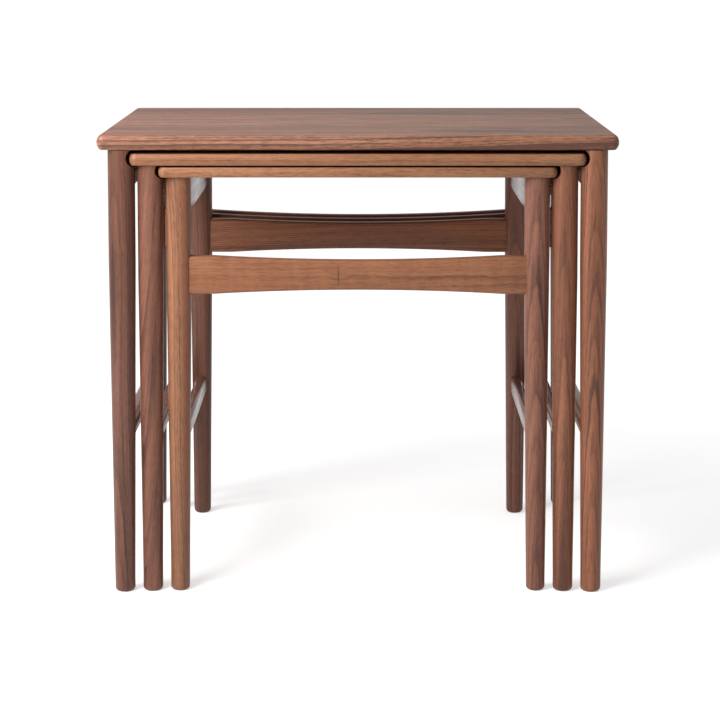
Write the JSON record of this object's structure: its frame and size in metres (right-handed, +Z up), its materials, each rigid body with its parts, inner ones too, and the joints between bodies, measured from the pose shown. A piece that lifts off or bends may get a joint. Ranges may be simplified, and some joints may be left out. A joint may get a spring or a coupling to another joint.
{
  "type": "nesting tables",
  "caption": "Nest of oiled walnut side tables with round tapered legs: each smaller table slides in under the next, its top running in grooves cut in the larger table's legs.",
  "frame": {"origin": "on the floor, under the middle of the large table's top", "axes": "+Z up, -Y towards the front, +X towards the right seen from the front"},
  "size_m": [0.545, 0.39, 0.495],
  "materials": {
    "large_top_walnut": "oiled walnut board glued from staves, satin, grain along the width",
    "medium_top_walnut": "oiled walnut board, satin, warmer than the large top",
    "small_top_walnut": "oiled walnut board, satin, warmer than the large top",
    "leg_walnut": "oiled walnut, turned, satin, grain along the leg",
    "side_walnut": "oiled walnut, satin, grain along the piece",
    "rail_walnut": "oiled walnut, satin, warm, fine ripple across the grain",
    "screw_steel": "zinc-plated wood screw"
  },
  "bodies": {
    "large": {"large_top": "large_top_walnut", "large_leg_front_left": "leg_walnut", "large_leg_front_right": "leg_walnut", "large_leg_back_left": "leg_walnut", "large_leg_back_right": "leg_walnut", "large_apron_left": "side_walnut", "large_stretcher_left": "side_walnut", "large_apron_right": "side_walnut", "large_stretcher_right": "side_walnut", "large_back_rail": "rail_walnut", "large_screw_front_left": "screw_steel", "large_screw_front_right": "screw_steel", "large_screw_back_left": "screw_steel", "large_screw_back_right": "screw_steel"},
    "medium": {"medium_top": "medium_top_walnut", "medium_leg_front_left": "leg_walnut", "medium_leg_front_right": "leg_walnut", "medium_leg_back_left": "leg_walnut", "medium_leg_back_right": "leg_walnut", "medium_apron_left": "side_walnut", "medium_stretcher_left": "side_walnut", "medium_apron_right": "side_walnut", "medium_stretcher_right": "side_walnut", "medium_back_rail": "rail_walnut", "medium_screw_front_left": "screw_steel", "medium_screw_front_right": "screw_steel", "medium_screw_back_left": "screw_steel", "medium_screw_back_right": "screw_steel"},
    "small": {"small_top": "small_top_walnut", "small_leg_front_left": "leg_walnut", "small_leg_front_right": "leg_walnut", "small_leg_back_left": "leg_walnut", "small_leg_back_right": "leg_walnut", "small_apron_left": "side_walnut", "small_stretcher_left": "side_walnut", "small_apron_right": "side_walnut", "small_stretcher_right": "side_walnut", "small_back_rail": "rail_walnut", "small_front_rail": "rail_walnut", "small_screw_front_left": "screw_steel", "small_screw_front_right": "screw_steel", "small_screw_back_left": "screw_steel", "small_screw_back_right": "screw_steel"}
  },
  "joints": [
    {"name": "medium_slide", "type": "slide", "parent": "large", "child": "medium", "axis": [0, -1, 0], "range_m": [0, 0.42]},
    {"name": "small_slide", "type": "slide", "parent": "medium", "child": "small", "axis": [0, -1, 0], "range_m": [0, 0.4]}
  ]
}
